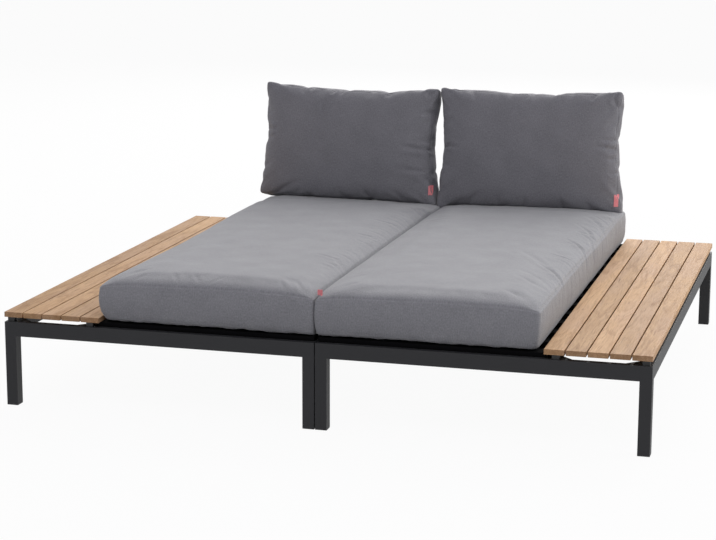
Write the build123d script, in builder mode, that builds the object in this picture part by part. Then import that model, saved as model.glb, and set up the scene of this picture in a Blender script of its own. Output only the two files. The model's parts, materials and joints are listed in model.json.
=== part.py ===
from build123d import *
from math import cos, radians, sin, tan
import os

os.makedirs("parts", exist_ok=True)

# Garden sofa made of two mirrored daybed modules that stand side by side.
# Each module is a low frame with a slatted teak side table, a seat cushion on a
# slatted deck, and a back cushion that leans on a plug-in backrest.
# X runs from left to right as a person looks at the front, Y runs to the rear and
# Z up from the floor. The origin is at the middle of the whole sofa, on the floor.
# Only the right module is drawn; each piece but the back cushions is written together
# with its mirror image.

# Module frame
module_width = 1100
module_gap = 3
frame_depth = 1900
rail_top = 293
rail_height = 50
rail_thickness = 25
tube_wall = 2
tube_corner = 1.5
leg_side = 40

# Foot glides
glide_flange = 3
glide_plug_height = 14
glide_plug_wall = 2.5
glide_clearance = 0.2

# Side table
slat_count = 5
slat_width = 65
slat_gap = 5
slat_thickness = 18
slat_edge = 1.5

# Battens under the table slats, and the spacers at the table corners
batten_count = 5
batten_width = 40
batten_wall = 1.5
batten_end_inset = 9
batten_first = 130
spacer_length = 24
spacer_width = 16
spacer_inset = 9

# Seat deck
deck_count = 14
deck_slat_width = 50
deck_slat_height = 16
deck_slat_wall = 1.5
deck_front_inset = 21.5
deck_side_inset = 5
deck_to_batten = 2
deck_flange_width = 50
deck_flange_thickness = 3

# Corner braces
brace_reach = 62
brace_plate = 4
brace_drop = 44
brace_notch_clearance = 0.5

# Frame bolts, the same for braces and backrest sockets
bolt_radius = 3
bolt_length = 16
bolt_head_radius = 5
bolt_head_height = 6
bolt_key_width = 5
bolt_key_depth = 3
bolt_hole_clearance = 0.25

# Slat screws
screw_radius = 2
screw_length = 28
screw_head_radius = 4
screw_head_height = 2.5
screw_hole_clearance = 0.1

# Backrest
lean = 8
backrest_height = 512
backrest_inset = 95
backrest_tube = 25
cross_bar_count = 3
cross_bar_height = 40
cross_bar_depth = 15
cross_bar_lowest = 215
cross_bar_top_gap = 22
cap_flange = 3
cap_plug_height = 14

# Backrest sockets on the rear rail
socket_wall = 3
liner_wall = 2
liner_floor = 3
liner_rim_height = 3
socket_clearance = 0.25
socket_depth = 118
ear_width = 24
ear_plate = 4

# Seat cushions, and how far they keep from the frame's front, rear and middle and from
# the table
seat_cushion_height = 155
seat_cushion_front = 12
seat_cushion_rear = 1
seat_cushion_side = 1
seat_to_table = 4
seat_corner = 22
seat_side_pull = 5
seat_end_pull = 3
soft_clearance = 0.3

# Back cushions, a little narrower than the seat cushions. Both stand somewhat to the left
# of their module's middle, the left one further.
back_cushion_height = 500
back_cushion_thickness = 168
back_cushion_side = 3.5
back_to_table = 6.5
right_back_shift = 10
left_back_shift = 32
back_cushion_sink = 36
back_side_pull = 20
back_end_pull = 16
back_corner = 26

# Overrun of a cut past the face that it leaves
overrun = 1

# Places that follow from the sizes above, measured from the front face and the floor
inner_face = module_gap / 2
outer_face = inner_face + module_width
table_width = slat_count * slat_width + (slat_count - 1) * slat_gap
table_edge = outer_face - table_width
rail_middle = rail_top - rail_height / 2
deck_top = rail_top + deck_slat_height
deck_end = table_edge + rail_thickness / 2 - deck_to_batten / 2
seat_bottom = deck_top + soft_clearance
seat_top = seat_bottom + seat_cushion_height
seat_start_x = inner_face + seat_cushion_side
seat_cushion_width = table_edge - seat_to_table - seat_start_x
seat_cushion_depth = frame_depth - seat_cushion_front - seat_cushion_rear
seat_centre_x = seat_start_x + seat_cushion_width / 2
back_start_x = inner_face + back_cushion_side
back_cushion_width = table_edge - back_to_table - back_start_x
back_centre_x = back_start_x + back_cushion_width / 2

# The backrest's front plane crosses the rail's top height behind the rear rail, far
# enough back for the socket wall and its liner to pass the rail's lower edge.
lean_sin = sin(radians(lean))
lean_cos = cos(radians(lean))
lean_start = (
    frame_depth
    + rail_height * tan(radians(lean))
    + (socket_wall + liner_wall + socket_clearance) / lean_cos
)
rear_reach = (
    lean_start
    + (backrest_height - tube_corner) * lean_sin
    + (backrest_tube - tube_corner) * lean_cos
    + tube_corner
)
front = -rear_reach / 2


def lean_point(rise, depth):
    """Y and Z of a point, by its rise up the backrest and its depth behind the front plane."""
    y = front + lean_start + rise * lean_sin + depth * lean_cos
    z = rail_top + rise * lean_cos - depth * lean_sin
    return y, z


def rise_plane(rise):
    """A plane across the backrest: local X is X, local Y is the depth behind the front plane."""
    y, z = lean_point(rise, 0)
    return Plane(origin=(0, y, z), x_dir=(1, 0, 0), z_dir=(0, lean_sin, lean_cos))


def bar_plane(x):
    """A plane across a bar of the backrest: local X is the depth, local Y is the rise."""
    y, z = lean_point(0, 0)
    return Plane(origin=(x, y, z), x_dir=(0, lean_cos, -lean_sin), z_dir=(1, 0, 0))


def write_pair(piece, name):
    """Writes the right module's piece and its mirror image in the left module."""
    with BuildPart() as twin:
        mirror(piece.part, about=Plane.YZ)
    for side, half in (("right", piece), ("left", twin)):
        half.part.label = side + "_" + name
        export_step(half.part, "parts/" + side + "_" + name + ".step")


def tube_section(across, up, wall, corner):
    """Adds the section of a rectangular tube, rounded outside, to the open sketch."""
    RectangleRounded(across, up, corner)
    Rectangle(across - 2 * wall, up - 2 * wall, mode=Mode.SUBTRACT)


# Bolt seats. Each plane lies on the face under a bolt's head and looks out of it.
brace_corners = [
    (outer_face - rail_thickness, rail_thickness, -1, 1),
    (outer_face - rail_thickness, frame_depth - rail_thickness, -1, -1),
    (table_edge + rail_thickness, rail_thickness, 1, 1),
    (table_edge + rail_thickness, frame_depth - rail_thickness, 1, -1),
    (inner_face + rail_thickness, rail_thickness, 1, 1),
    (inner_face + rail_thickness, frame_depth - rail_thickness, 1, -1),
]
brace_notch = leg_side - rail_thickness + brace_notch_clearance
brace_bolt_place = (brace_notch + brace_reach) / 2
cross_rail_bolts = []
side_rail_bolts = []
for corner_x, corner_y, way_x, way_y in brace_corners:
    flange_y = front + corner_y + way_y * brace_plate
    flange_x = corner_x + way_x * brace_plate
    along_x = corner_x + way_x * brace_bolt_place
    along_y = front + corner_y + way_y * brace_bolt_place
    cross_rail_bolts.append(
        Plane(origin=(along_x, flange_y, rail_middle), z_dir=(0, way_y, 0))
    )
    side_rail_bolts.append(
        Plane(origin=(flange_x, along_y, rail_middle), z_dir=(way_x, 0, 0))
    )
sleeve_width = backrest_tube + 2 * (socket_clearance + liner_wall + socket_wall)
upright_places = [
    seat_start_x + backrest_inset + backrest_tube / 2,
    table_edge - seat_to_table - backrest_inset - backrest_tube / 2,
]
socket_bolts = []
for upright_x in upright_places:
    for way_x in (-1, 1):
        along_x = upright_x + way_x * (sleeve_width + ear_width) / 2
        ear_y = front + frame_depth + ear_plate
        socket_bolts.append(Plane(origin=(along_x, ear_y, rail_middle), z_dir=(0, 1, 0)))

# Front and rear rails, between the legs
front_rail_bolts = [plane for plane in cross_rail_bolts if plane.z_dir.Y > 0]
rear_rail_bolts = [plane for plane in cross_rail_bolts if plane.z_dir.Y < 0] + socket_bolts
for name, rail_y, bolts in (
    ("front_rail", front + rail_thickness / 2, front_rail_bolts),
    ("rear_rail", front + frame_depth - rail_thickness / 2, rear_rail_bolts),
):
    with BuildPart() as cross_rail:
        with BuildSketch(Plane.YZ.offset(inner_face + leg_side)):
            with Locations((rail_y, rail_middle)):
                tube_section(rail_thickness, rail_height, tube_wall, tube_corner)
        extrude(amount=module_width - 2 * leg_side)
        with BuildSketch(*bolts):
            Circle(bolt_radius + bolt_hole_clearance)
        extrude(amount=-bolt_length, mode=Mode.SUBTRACT)
    write_pair(cross_rail, name)

# Side rails, between the front and rear legs, and the rail under the table's inner
# edge, which runs between the front and rear rails and has a flange under the deck
outer_rail_x = outer_face - rail_thickness / 2
table_rail_x = table_edge + rail_thickness / 2
inner_rail_x = inner_face + rail_thickness / 2
for name, rail_x, end_inset in (
    ("outer_rail", outer_rail_x, leg_side),
    ("table_rail", table_rail_x, rail_thickness),
    ("inner_rail", inner_rail_x, leg_side),
):
    bolts = [
        plane
        for plane in side_rail_bolts
        if abs(plane.origin.X - rail_x) < rail_thickness / 2 + brace_plate + overrun
    ]
    with BuildPart() as side_rail:
        with BuildSketch(Plane.XZ.offset(-front - end_inset)):
            with Locations((rail_x, rail_middle)):
                tube_section(rail_thickness, rail_height, tube_wall, tube_corner)
            if name == "table_rail":
                with Locations((table_edge + tube_wall, rail_top)):
                    Rectangle(
                        deck_flange_width + tube_wall,
                        deck_flange_thickness,
                        align=(Align.MAX, Align.MAX),
                    )
        extrude(amount=2 * end_inset - frame_depth)
        with BuildSketch(*bolts):
            Circle(bolt_radius + bolt_hole_clearance)
        extrude(amount=-bolt_length, mode=Mode.SUBTRACT)
    write_pair(side_rail, name)

# Legs: square tubes closed at the top, with a rounded outer corner
leg_places = {
    "front_outer": (outer_face - leg_side / 2, front + leg_side / 2, 1, -1),
    "front_inner": (inner_face + leg_side / 2, front + leg_side / 2, -1, -1),
    "rear_outer": (outer_face - leg_side / 2, front + frame_depth - leg_side / 2, 1, 1),
    "rear_inner": (inner_face + leg_side / 2, front + frame_depth - leg_side / 2, -1, 1),
}
for name, (leg_x, leg_y, way_x, way_y) in leg_places.items():
    with BuildPart() as leg:
        with BuildSketch(Plane.XY.offset(glide_flange)):
            with Locations((leg_x, leg_y)):
                Rectangle(leg_side, leg_side)
        extrude(amount=rail_top - glide_flange)
        corner_edge = leg.edges().filter_by(Axis.Z).sort_by(
            lambda edge: way_x * edge.center().X + way_y * edge.center().Y
        )[-1]
        top_edges = (
            leg.faces().sort_by(Axis.Z)[-1].edges().filter_by(
                lambda edge: way_x * (edge.center().X - leg_x) > leg_side / 4
                or way_y * (edge.center().Y - leg_y) > leg_side / 4
            )
        )
        fillet([corner_edge] + list(top_edges), tube_corner)
        with BuildSketch(Plane.XY.offset(glide_flange)):
            with Locations((leg_x, leg_y)):
                Rectangle(leg_side - 2 * tube_wall, leg_side - 2 * tube_wall)
        extrude(amount=rail_top - glide_flange - tube_wall, mode=Mode.SUBTRACT)
    write_pair(leg, name + "_leg")

# Foot glides: a flange under each leg and a hollow plug inside it
leg_centres = [(leg_x, leg_y) for leg_x, leg_y, way_x, way_y in leg_places.values()]
glide_plug = leg_side - 2 * tube_wall - 2 * glide_clearance
with BuildPart() as foot_glides:
    with BuildSketch():
        with Locations(*leg_centres):
            RectangleRounded(leg_side, leg_side, tube_corner)
    extrude(amount=glide_flange)
    with BuildSketch(Plane.XY.offset(glide_flange)):
        with Locations(*leg_centres):
            Rectangle(glide_plug, glide_plug)
            Rectangle(
                glide_plug - 2 * glide_plug_wall,
                glide_plug - 2 * glide_plug_wall,
                mode=Mode.SUBTRACT,
            )
    extrude(amount=glide_plug_height)
write_pair(foot_glides, "foot_glides")

# Corner braces: a notched triangular plate level with the rails, and two flanges
with BuildPart() as corner_braces:
    for corner_x, corner_y, way_x, way_y in brace_corners:
        base_y = front + corner_y
        with BuildSketch(Plane.XY.offset(rail_top - brace_plate)):
            with BuildLine():
                Polyline(
                    (corner_x + way_x * brace_notch, base_y),
                    (corner_x + way_x * brace_reach, base_y),
                    (corner_x, base_y + way_y * brace_reach),
                    (corner_x, base_y + way_y * brace_notch),
                    (corner_x + way_x * brace_notch, base_y + way_y * brace_notch),
                    close=True,
                )
            make_face()
        extrude(amount=brace_plate)
        with BuildSketch(Plane.XY.offset(rail_top - brace_drop)):
            with Locations((corner_x + way_x * brace_bolt_place, base_y + way_y * brace_plate / 2)):
                Rectangle(brace_reach - brace_notch, brace_plate)
            with Locations((corner_x + way_x * brace_plate / 2, base_y + way_y * brace_bolt_place)):
                Rectangle(brace_plate, brace_reach - brace_notch)
        extrude(amount=brace_drop - brace_plate)
    with BuildSketch(*cross_rail_bolts, *side_rail_bolts):
        Circle(bolt_radius + bolt_hole_clearance)
    extrude(amount=-brace_plate, mode=Mode.SUBTRACT)
write_pair(corner_braces, "corner_braces")

# Frame bolts: socket heads with a hexagon recess
with BuildPart() as frame_bolts:
    for plane in cross_rail_bolts + side_rail_bolts + socket_bolts:
        with BuildSketch(plane):
            Circle(bolt_head_radius)
        extrude(amount=bolt_head_height)
        with BuildSketch(plane):
            Circle(bolt_radius)
        extrude(amount=-bolt_length)
        with BuildSketch(plane.offset(bolt_head_height)):
            RegularPolygon(bolt_key_width / 2, 6, major_radius=False)
        extrude(amount=-bolt_key_depth, mode=Mode.SUBTRACT)
write_pair(frame_bolts, "frame_bolts")

# Table battens on the rails, and the places of the screws that hold the slats
slat_places = [
    table_edge + slat_width / 2 + index * (slat_width + slat_gap) for index in range(slat_count)
]
batten_pitch = (frame_depth - 2 * batten_first) / (batten_count - 1)
batten_places = [front + batten_first + index * batten_pitch for index in range(batten_count)]
batten_start = deck_end + deck_to_batten
batten_length = outer_face - batten_end_inset - batten_start
screw_places = [(slat_x, batten_y) for slat_x in slat_places for batten_y in batten_places]
screw_hole = screw_radius + screw_hole_clearance
with BuildPart() as table_battens:
    with BuildSketch(Plane.YZ.offset(batten_start)):
        for batten_y in batten_places:
            with Locations((batten_y, rail_top + deck_slat_height / 2)):
                tube_section(batten_width, deck_slat_height, batten_wall, tube_corner)
    extrude(amount=batten_length)
    with BuildSketch(Plane.XY.offset(rail_top)):
        with Locations(*screw_places):
            Circle(screw_hole)
    extrude(amount=deck_slat_height, mode=Mode.SUBTRACT)
write_pair(table_battens, "table_battens")

# Table slats, from the seat outwards, with blind pilot holes in their undersides
screw_bite = screw_length - deck_slat_height
for index, slat_x in enumerate(slat_places):
    with BuildPart() as table_slat:
        with BuildSketch(Plane.XY.offset(deck_top)):
            with Locations((slat_x, front + frame_depth / 2)):
                Rectangle(slat_width, frame_depth)
        extrude(amount=slat_thickness)
        fillet(table_slat.edges(), slat_edge)
        with BuildSketch(Plane.XY.offset(deck_top)):
            with Locations(*[(slat_x, batten_y) for batten_y in batten_places]):
                Circle(screw_hole)
        extrude(amount=screw_bite + screw_hole_clearance, mode=Mode.SUBTRACT)
    write_pair(table_slat, "table_slat_" + str(index + 1))

# Slat screws, driven from below through the battens
with BuildPart() as slat_screws:
    with BuildSketch(Plane.XY.offset(rail_top)):
        with Locations(*screw_places):
            Circle(screw_radius)
    extrude(amount=screw_length)
    with BuildSketch(Plane.XY.offset(rail_top)):
        with Locations(*screw_places):
            Circle(screw_head_radius)
    extrude(amount=-screw_head_height)
write_pair(slat_screws, "slat_screws")

# Spacers under the table's four corners, on the front and rear rails
spacer_columns = [
    table_edge + rail_thickness + spacer_length / 2,
    outer_face - spacer_inset - spacer_length / 2,
]
spacer_rows = [
    front + spacer_inset + spacer_width / 2,
    front + frame_depth - spacer_inset - spacer_width / 2,
]
with BuildPart() as corner_spacers:
    with BuildSketch(Plane.XY.offset(rail_top)):
        with Locations(*[(place_x, place_y) for place_x in spacer_columns for place_y in spacer_rows]):
            Rectangle(spacer_length, spacer_width)
    extrude(amount=deck_slat_height)
write_pair(corner_spacers, "corner_spacers")

# Seat deck: flat tubes across the inner rail and the table rail
deck_start = inner_face + deck_side_inset
deck_first = front + deck_front_inset + deck_slat_width / 2
deck_pitch = (frame_depth - 2 * deck_front_inset - deck_slat_width) / (deck_count - 1)
with BuildPart() as deck_slats:
    with BuildSketch(Plane.YZ.offset(deck_start)):
        for index in range(deck_count):
            with Locations((deck_first + index * deck_pitch, rail_top + deck_slat_height / 2)):
                tube_section(deck_slat_width, deck_slat_height, deck_slat_wall, tube_corner)
    extrude(amount=deck_end - deck_start)
write_pair(deck_slats, "deck_slats")

# Backrest uprights, plugged into the sockets
upright_foot = liner_floor + cap_flange - socket_depth
for name, upright_x in (("inner", upright_places[0]), ("outer", upright_places[1])):
    with BuildPart() as upright:
        with BuildSketch(rise_plane(upright_foot)):
            with Locations((upright_x, backrest_tube / 2)):
                tube_section(backrest_tube, backrest_tube, tube_wall, tube_corner)
        extrude(amount=backrest_height - backrest_tube - upright_foot)
    write_pair(upright, "backrest_" + name + "_upright")

# Top rail of the backrest, across both uprights
top_rail_start = upright_places[0] - backrest_tube / 2
top_rail_length = upright_places[1] - upright_places[0] + backrest_tube
with BuildPart() as backrest_top_rail:
    with BuildSketch(bar_plane(top_rail_start)):
        with Locations((backrest_tube / 2, backrest_height - backrest_tube / 2)):
            tube_section(backrest_tube, backrest_tube, tube_wall, tube_corner)
    extrude(amount=top_rail_length)
write_pair(backrest_top_rail, "backrest_top_rail")

# Cross bars of the backrest, between the uprights and level with their front
cross_bar_highest = (
    backrest_height - backrest_tube - cross_bar_top_gap - cross_bar_height / 2
)
cross_bar_pitch = (cross_bar_highest - cross_bar_lowest) / (cross_bar_count - 1)
with BuildPart() as backrest_cross_bars:
    with BuildSketch(bar_plane(upright_places[0] + backrest_tube / 2)):
        for index in range(cross_bar_count):
            with Locations((cross_bar_depth / 2, cross_bar_lowest + index * cross_bar_pitch)):
                tube_section(cross_bar_depth, cross_bar_height, tube_wall, tube_corner)
    extrude(amount=top_rail_length - 2 * backrest_tube)
write_pair(backrest_cross_bars, "backrest_cross_bars")

# Plastic caps in the lower ends of the uprights
cap_plug = backrest_tube - 2 * tube_wall - 2 * glide_clearance
upright_centres = [(upright_x, backrest_tube / 2) for upright_x in upright_places]
with BuildPart() as upright_caps:
    with BuildSketch(rise_plane(upright_foot - cap_flange)):
        with Locations(*upright_centres):
            RectangleRounded(backrest_tube, backrest_tube, tube_corner)
    extrude(amount=cap_flange)
    with BuildSketch(rise_plane(upright_foot)):
        with Locations(*upright_centres):
            Rectangle(cap_plug, cap_plug)
    extrude(amount=cap_plug_height)
write_pair(upright_caps, "upright_caps")

# Socket liners: plastic cups that guide the uprights
liner_inner = backrest_tube + 2 * socket_clearance
liner_outer = liner_inner + 2 * liner_wall
with BuildPart() as socket_liners:
    with BuildSketch(rise_plane(-socket_depth)):
        with Locations(*upright_centres):
            Rectangle(liner_outer, liner_outer)
    extrude(amount=socket_depth)
    with BuildSketch(rise_plane(0)):
        with Locations(*upright_centres):
            Rectangle(sleeve_width, sleeve_width)
    extrude(amount=liner_rim_height)
    with BuildSketch(rise_plane(liner_floor - socket_depth)):
        with Locations(*upright_centres):
            Rectangle(liner_inner, liner_inner)
    extrude(amount=socket_depth + liner_rim_height, mode=Mode.SUBTRACT)
write_pair(socket_liners, "socket_liners")

# Sockets: a leaning sleeve, a wedge and a bolted plate on the rear rail's outer face
sleeve_front = -(socket_clearance + liner_wall + socket_wall)
rail_face = front + frame_depth
with BuildPart() as backrest_sockets:
    with BuildSketch(rise_plane(-socket_depth)):
        with Locations(*upright_centres):
            Rectangle(sleeve_width, sleeve_width)
    extrude(amount=socket_depth)
    for upright_x in upright_places:
        with BuildSketch(Plane.YZ.offset(upright_x - sleeve_width / 2)):
            with BuildLine():
                Polyline(
                    (rail_face, rail_top - rail_height),
                    (rail_face, rail_top),
                    lean_point(0, 0),
                    lean_point(-rail_height, 0),
                    close=True,
                )
            make_face()
        extrude(amount=sleeve_width)
    with BuildSketch(Plane.XZ.offset(-rail_face)):
        with Locations(*[(upright_x, rail_middle) for upright_x in upright_places]):
            Rectangle(sleeve_width + 2 * ear_width, rail_height)
    extrude(amount=-ear_plate)
    with BuildSketch(rise_plane(-socket_depth)):
        with Locations(*upright_centres):
            Rectangle(liner_outer, liner_outer)
    extrude(amount=socket_depth + overrun, mode=Mode.SUBTRACT)
    with BuildSketch(*socket_bolts):
        Circle(bolt_radius + bolt_hole_clearance)
    extrude(amount=-ear_plate, mode=Mode.SUBTRACT)
write_pair(backrest_sockets, "backrest_sockets")


def cushion_outline(plane, across, along, side_pull, end_pull, corner):
    """A cushion's outline: sides that bow inwards between rounded corners."""
    half_across = across / 2
    half_along = along / 2
    with BuildSketch(plane) as outline:
        with BuildLine():
            ThreePointArc(
                (-half_across, -half_along),
                (0, end_pull - half_along),
                (half_across, -half_along),
            )
            ThreePointArc(
                (half_across, -half_along),
                (half_across - side_pull, 0),
                (half_across, half_along),
            )
            ThreePointArc(
                (half_across, half_along),
                (0, half_along - end_pull),
                (-half_across, half_along),
            )
            ThreePointArc(
                (-half_across, half_along),
                (side_pull - half_across, 0),
                (-half_across, -half_along),
            )
        make_face()
        fillet(outline.vertices(), corner)
    return outline.sketch


def cushion_sections(base, width, length, height, level_shares, inset_shares, pulls, corner):
    """Outlines from a cushion's lowest level to its highest, drawn in by shares of its height."""
    side_pull, end_pull = pulls
    return [
        cushion_outline(
            base.offset(height * level_share),
            width - 2 * height * inset_share,
            length - 2 * height * inset_share,
            side_pull,
            end_pull,
            corner,
        )
        for level_share, inset_share in zip(level_shares, inset_shares)
    ]


# Seat cushion: flat below, with nearly upright sides and a crowned top
seat_level_shares = [0, 0.05, 0.16, 0.5, 0.78, 0.87, 0.94, 0.98, 1]
seat_inset_shares = [0.13, 0.045, 0.005, 0, 0.02, 0.075, 0.22, 0.5, 0.95]
seat_centre_y = front + seat_cushion_front + seat_cushion_depth / 2
with BuildPart() as seat_cushion:
    loft(
        cushion_sections(
            Plane(origin=(seat_centre_x, seat_centre_y, seat_bottom)),
            seat_cushion_width,
            seat_cushion_depth,
            seat_cushion_height,
            seat_level_shares,
            seat_inset_shares,
            (seat_side_pull, seat_end_pull),
            seat_corner,
        ),
        ruled=True,
    )
write_pair(seat_cushion, "seat_cushion")

# Back cushion: its levels run from the rear face, which rests on the backrest, to the
# front face. It is cut flat where it stands on the seat cushion.
back_level_shares = [0, 0.05, 0.17, 0.34, 0.5, 0.66, 0.83, 0.95, 1]
back_inset_shares = [0.6, 0.34, 0.11, 0.015, 0, 0.015, 0.12, 0.4, 0.75]
back_stand = seat_top + soft_clearance
back_foot_rise = (back_stand - back_cushion_sink - rail_top) / lean_cos
back_centre_y, back_centre_z = lean_point(
    back_foot_rise + back_cushion_height / 2, -soft_clearance
)
for name, centre_x in (
    ("right_back_cushion", back_centre_x - right_back_shift),
    ("left_back_cushion", -back_centre_x - left_back_shift),
):
    with BuildPart() as back_cushion:
        loft(
            cushion_sections(
                Plane(
                    origin=(centre_x, back_centre_y, back_centre_z),
                    x_dir=(1, 0, 0),
                    z_dir=(0, -lean_cos, lean_sin),
                ),
                back_cushion_width,
                back_cushion_height,
                back_cushion_thickness,
                back_level_shares,
                back_inset_shares,
                (back_side_pull, back_end_pull),
                back_corner,
            ),
            ruled=True,
        )
        split(bisect_by=Plane.XY.offset(back_stand), keep=Keep.TOP)
    back_cushion.part.label = name
    export_step(back_cushion.part, "parts/" + name + ".step")
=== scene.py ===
import json
import math

import bpy
import numpy as np
from mathutils import Matrix, Vector, noise
from mathutils.bvhtree import BVHTree


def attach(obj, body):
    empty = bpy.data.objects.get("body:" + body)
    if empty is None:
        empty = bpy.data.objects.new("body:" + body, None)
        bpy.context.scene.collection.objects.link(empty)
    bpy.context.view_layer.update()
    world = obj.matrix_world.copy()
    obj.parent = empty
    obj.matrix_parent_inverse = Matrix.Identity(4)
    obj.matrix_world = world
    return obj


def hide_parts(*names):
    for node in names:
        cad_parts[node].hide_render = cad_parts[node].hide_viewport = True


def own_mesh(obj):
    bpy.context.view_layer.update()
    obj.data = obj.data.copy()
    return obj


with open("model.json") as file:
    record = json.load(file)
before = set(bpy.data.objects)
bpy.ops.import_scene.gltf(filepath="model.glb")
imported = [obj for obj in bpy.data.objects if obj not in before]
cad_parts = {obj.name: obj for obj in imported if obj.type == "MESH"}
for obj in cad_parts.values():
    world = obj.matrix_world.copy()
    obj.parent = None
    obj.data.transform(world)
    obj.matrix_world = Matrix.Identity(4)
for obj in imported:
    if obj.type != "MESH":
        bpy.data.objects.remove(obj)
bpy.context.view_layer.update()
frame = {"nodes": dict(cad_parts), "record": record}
print("frame loaded:", len(frame["nodes"]), "nodes")

# camera, at the photograph's place: turned, dipped and rolled in radians
cameraView = {
    "place": (1.79872, -7.00125, 1.85814),
    "turn": 0.26873,
    "dip": 0.20791,
    "roll": 0.00321,
    "lens": 99.37418,
    "sensor": 36.0,
}


def placeCamera(view):
    data = bpy.data.cameras.new("sofaCamera")
    data.lens = view["lens"]
    data.sensor_width = view["sensor"]
    camera = bpy.data.objects.new("sofaCamera", data)
    bpy.context.scene.collection.objects.link(camera)
    turned = Matrix.Rotation(view["turn"], 4, "Z") @ Matrix.Rotation(math.pi / 2 - view["dip"], 4, "X")
    camera.matrix_world = Matrix.Translation(view["place"]) @ turned @ Matrix.Rotation(view["roll"], 4, "Z")
    bpy.context.scene.camera = camera


placeCamera(cameraView)
bpy.context.scene.view_settings.view_transform = "Standard"


# small helpers for node materials
noiseSpan = (0.3, 0.7)  # nearly all values of a noise lie between these


def setInputs(tree, node, values):
    # a socket is linked, anything else is set
    for key, value in values.items():
        if isinstance(value, bpy.types.NodeSocket):
            tree.links.new(value, node.inputs[key])
        else:
            node.inputs[key].default_value = value


def addNode(tree, kind, values=None, **settings):
    node = tree.nodes.new(kind)
    for key, value in settings.items():
        setattr(node, key, value)
    setInputs(tree, node, values or {})
    return node


def newMaterial(name):
    material = bpy.data.materials.new(name)
    material.use_nodes = True
    tree = material.node_tree
    tree.nodes.clear()
    shader = addNode(tree, "ShaderNodeBsdfPrincipled")
    addNode(tree, "ShaderNodeOutputMaterial", {"Surface": shader.outputs[0]})
    return material, tree, shader


def objectPlace(tree):
    return addNode(tree, "ShaderNodeTexCoord").outputs["Object"]


def mathNode(tree, operation, a, b=0.0):
    return addNode(tree, "ShaderNodeMath", {0: a, 1: b}, operation=operation).outputs[0]


def weighted(tree, *pairs):
    # the sum of some values, each times its share
    parts = [mathNode(tree, "MULTIPLY", value, share) for value, share in pairs]
    total = parts[0]
    for part in parts[1:]:
        total = mathNode(tree, "ADD", total, part)
    return total


def mixColour(tree, factor, a, b):
    colours = [value if isinstance(value, bpy.types.NodeSocket) else (*value, 1) for value in (a, b)]
    values = {0: factor, 6: colours[0], 7: colours[1]}
    return addNode(tree, "ShaderNodeMix", values, data_type="RGBA").outputs[2]


def mapRange(tree, value, low, high, toLow, toHigh):
    values = {"Value": value, "From Min": low, "From Max": high, "To Min": toLow, "To Max": toHigh}
    return addNode(tree, "ShaderNodeMapRange", values).outputs["Result"]


def overNoise(tree, value, toLow, toHigh):
    return mapRange(tree, value, *noiseSpan, toLow, toHigh)


def noiseValue(tree, vector, scale=1.0, detail=2.0, roughness=0.5, distortion=0.0, stretch=None):
    if stretch is not None:
        vector = addNode(tree, "ShaderNodeMapping", {"Vector": vector, "Scale": stretch}).outputs[0]
    values = {
        "Vector": vector,
        "Scale": scale,
        "Detail": detail,
        "Roughness": roughness,
        "Distortion": distortion,
    }
    return addNode(tree, "ShaderNodeTexNoise", values).outputs[0]


def bumpNormal(tree, height, strength, distance):
    values = {"Height": height, "Strength": strength, "Distance": distance}
    return addNode(tree, "ShaderNodeBump", values).outputs[0]


# powder coat on the aluminium frame
powderCoat = {
    "name": "powderCoat",
    "dark": (0.0190, 0.0195, 0.0210),
    "light": (0.0260, 0.0265, 0.0285),
    "roughness": (0.50, 0.60),
    "gloss": 0.30,
}
# the deck under the seat cushions and the rail beside it take a near-black coat with hardly any gloss:
# painted shade for the shadow under the cushions
deckShadeCoat = {
    "name": "deckShadeCoat",
    "dark": (0.0040, 0.0040, 0.0043),
    "light": (0.0065, 0.0065, 0.0070),
    "roughness": (0.82, 0.92),
    "gloss": 0.02,
}
coatGrain = {
    "cloud": {"scale": 7.0, "detail": 3.0},
    "fine": {"scale": 1500.0, "detail": 1.0},
    "bump": (0.35, 0.00008),
}


def makePowderCoat(coat, grain):
    material, tree, shader = newMaterial(coat["name"])
    place = objectPlace(tree)
    cloud = noiseValue(tree, place, **grain["cloud"])
    fine = noiseValue(tree, place, **grain["fine"])
    values = {
        "Base Color": mixColour(tree, cloud, coat["dark"], coat["light"]),
        "Roughness": overNoise(tree, fine, *coat["roughness"]),
        "Normal": bumpNormal(tree, fine, *grain["bump"]),
        "Specular IOR Level": coat["gloss"],
    }
    setInputs(tree, shader, values)
    return material


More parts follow.
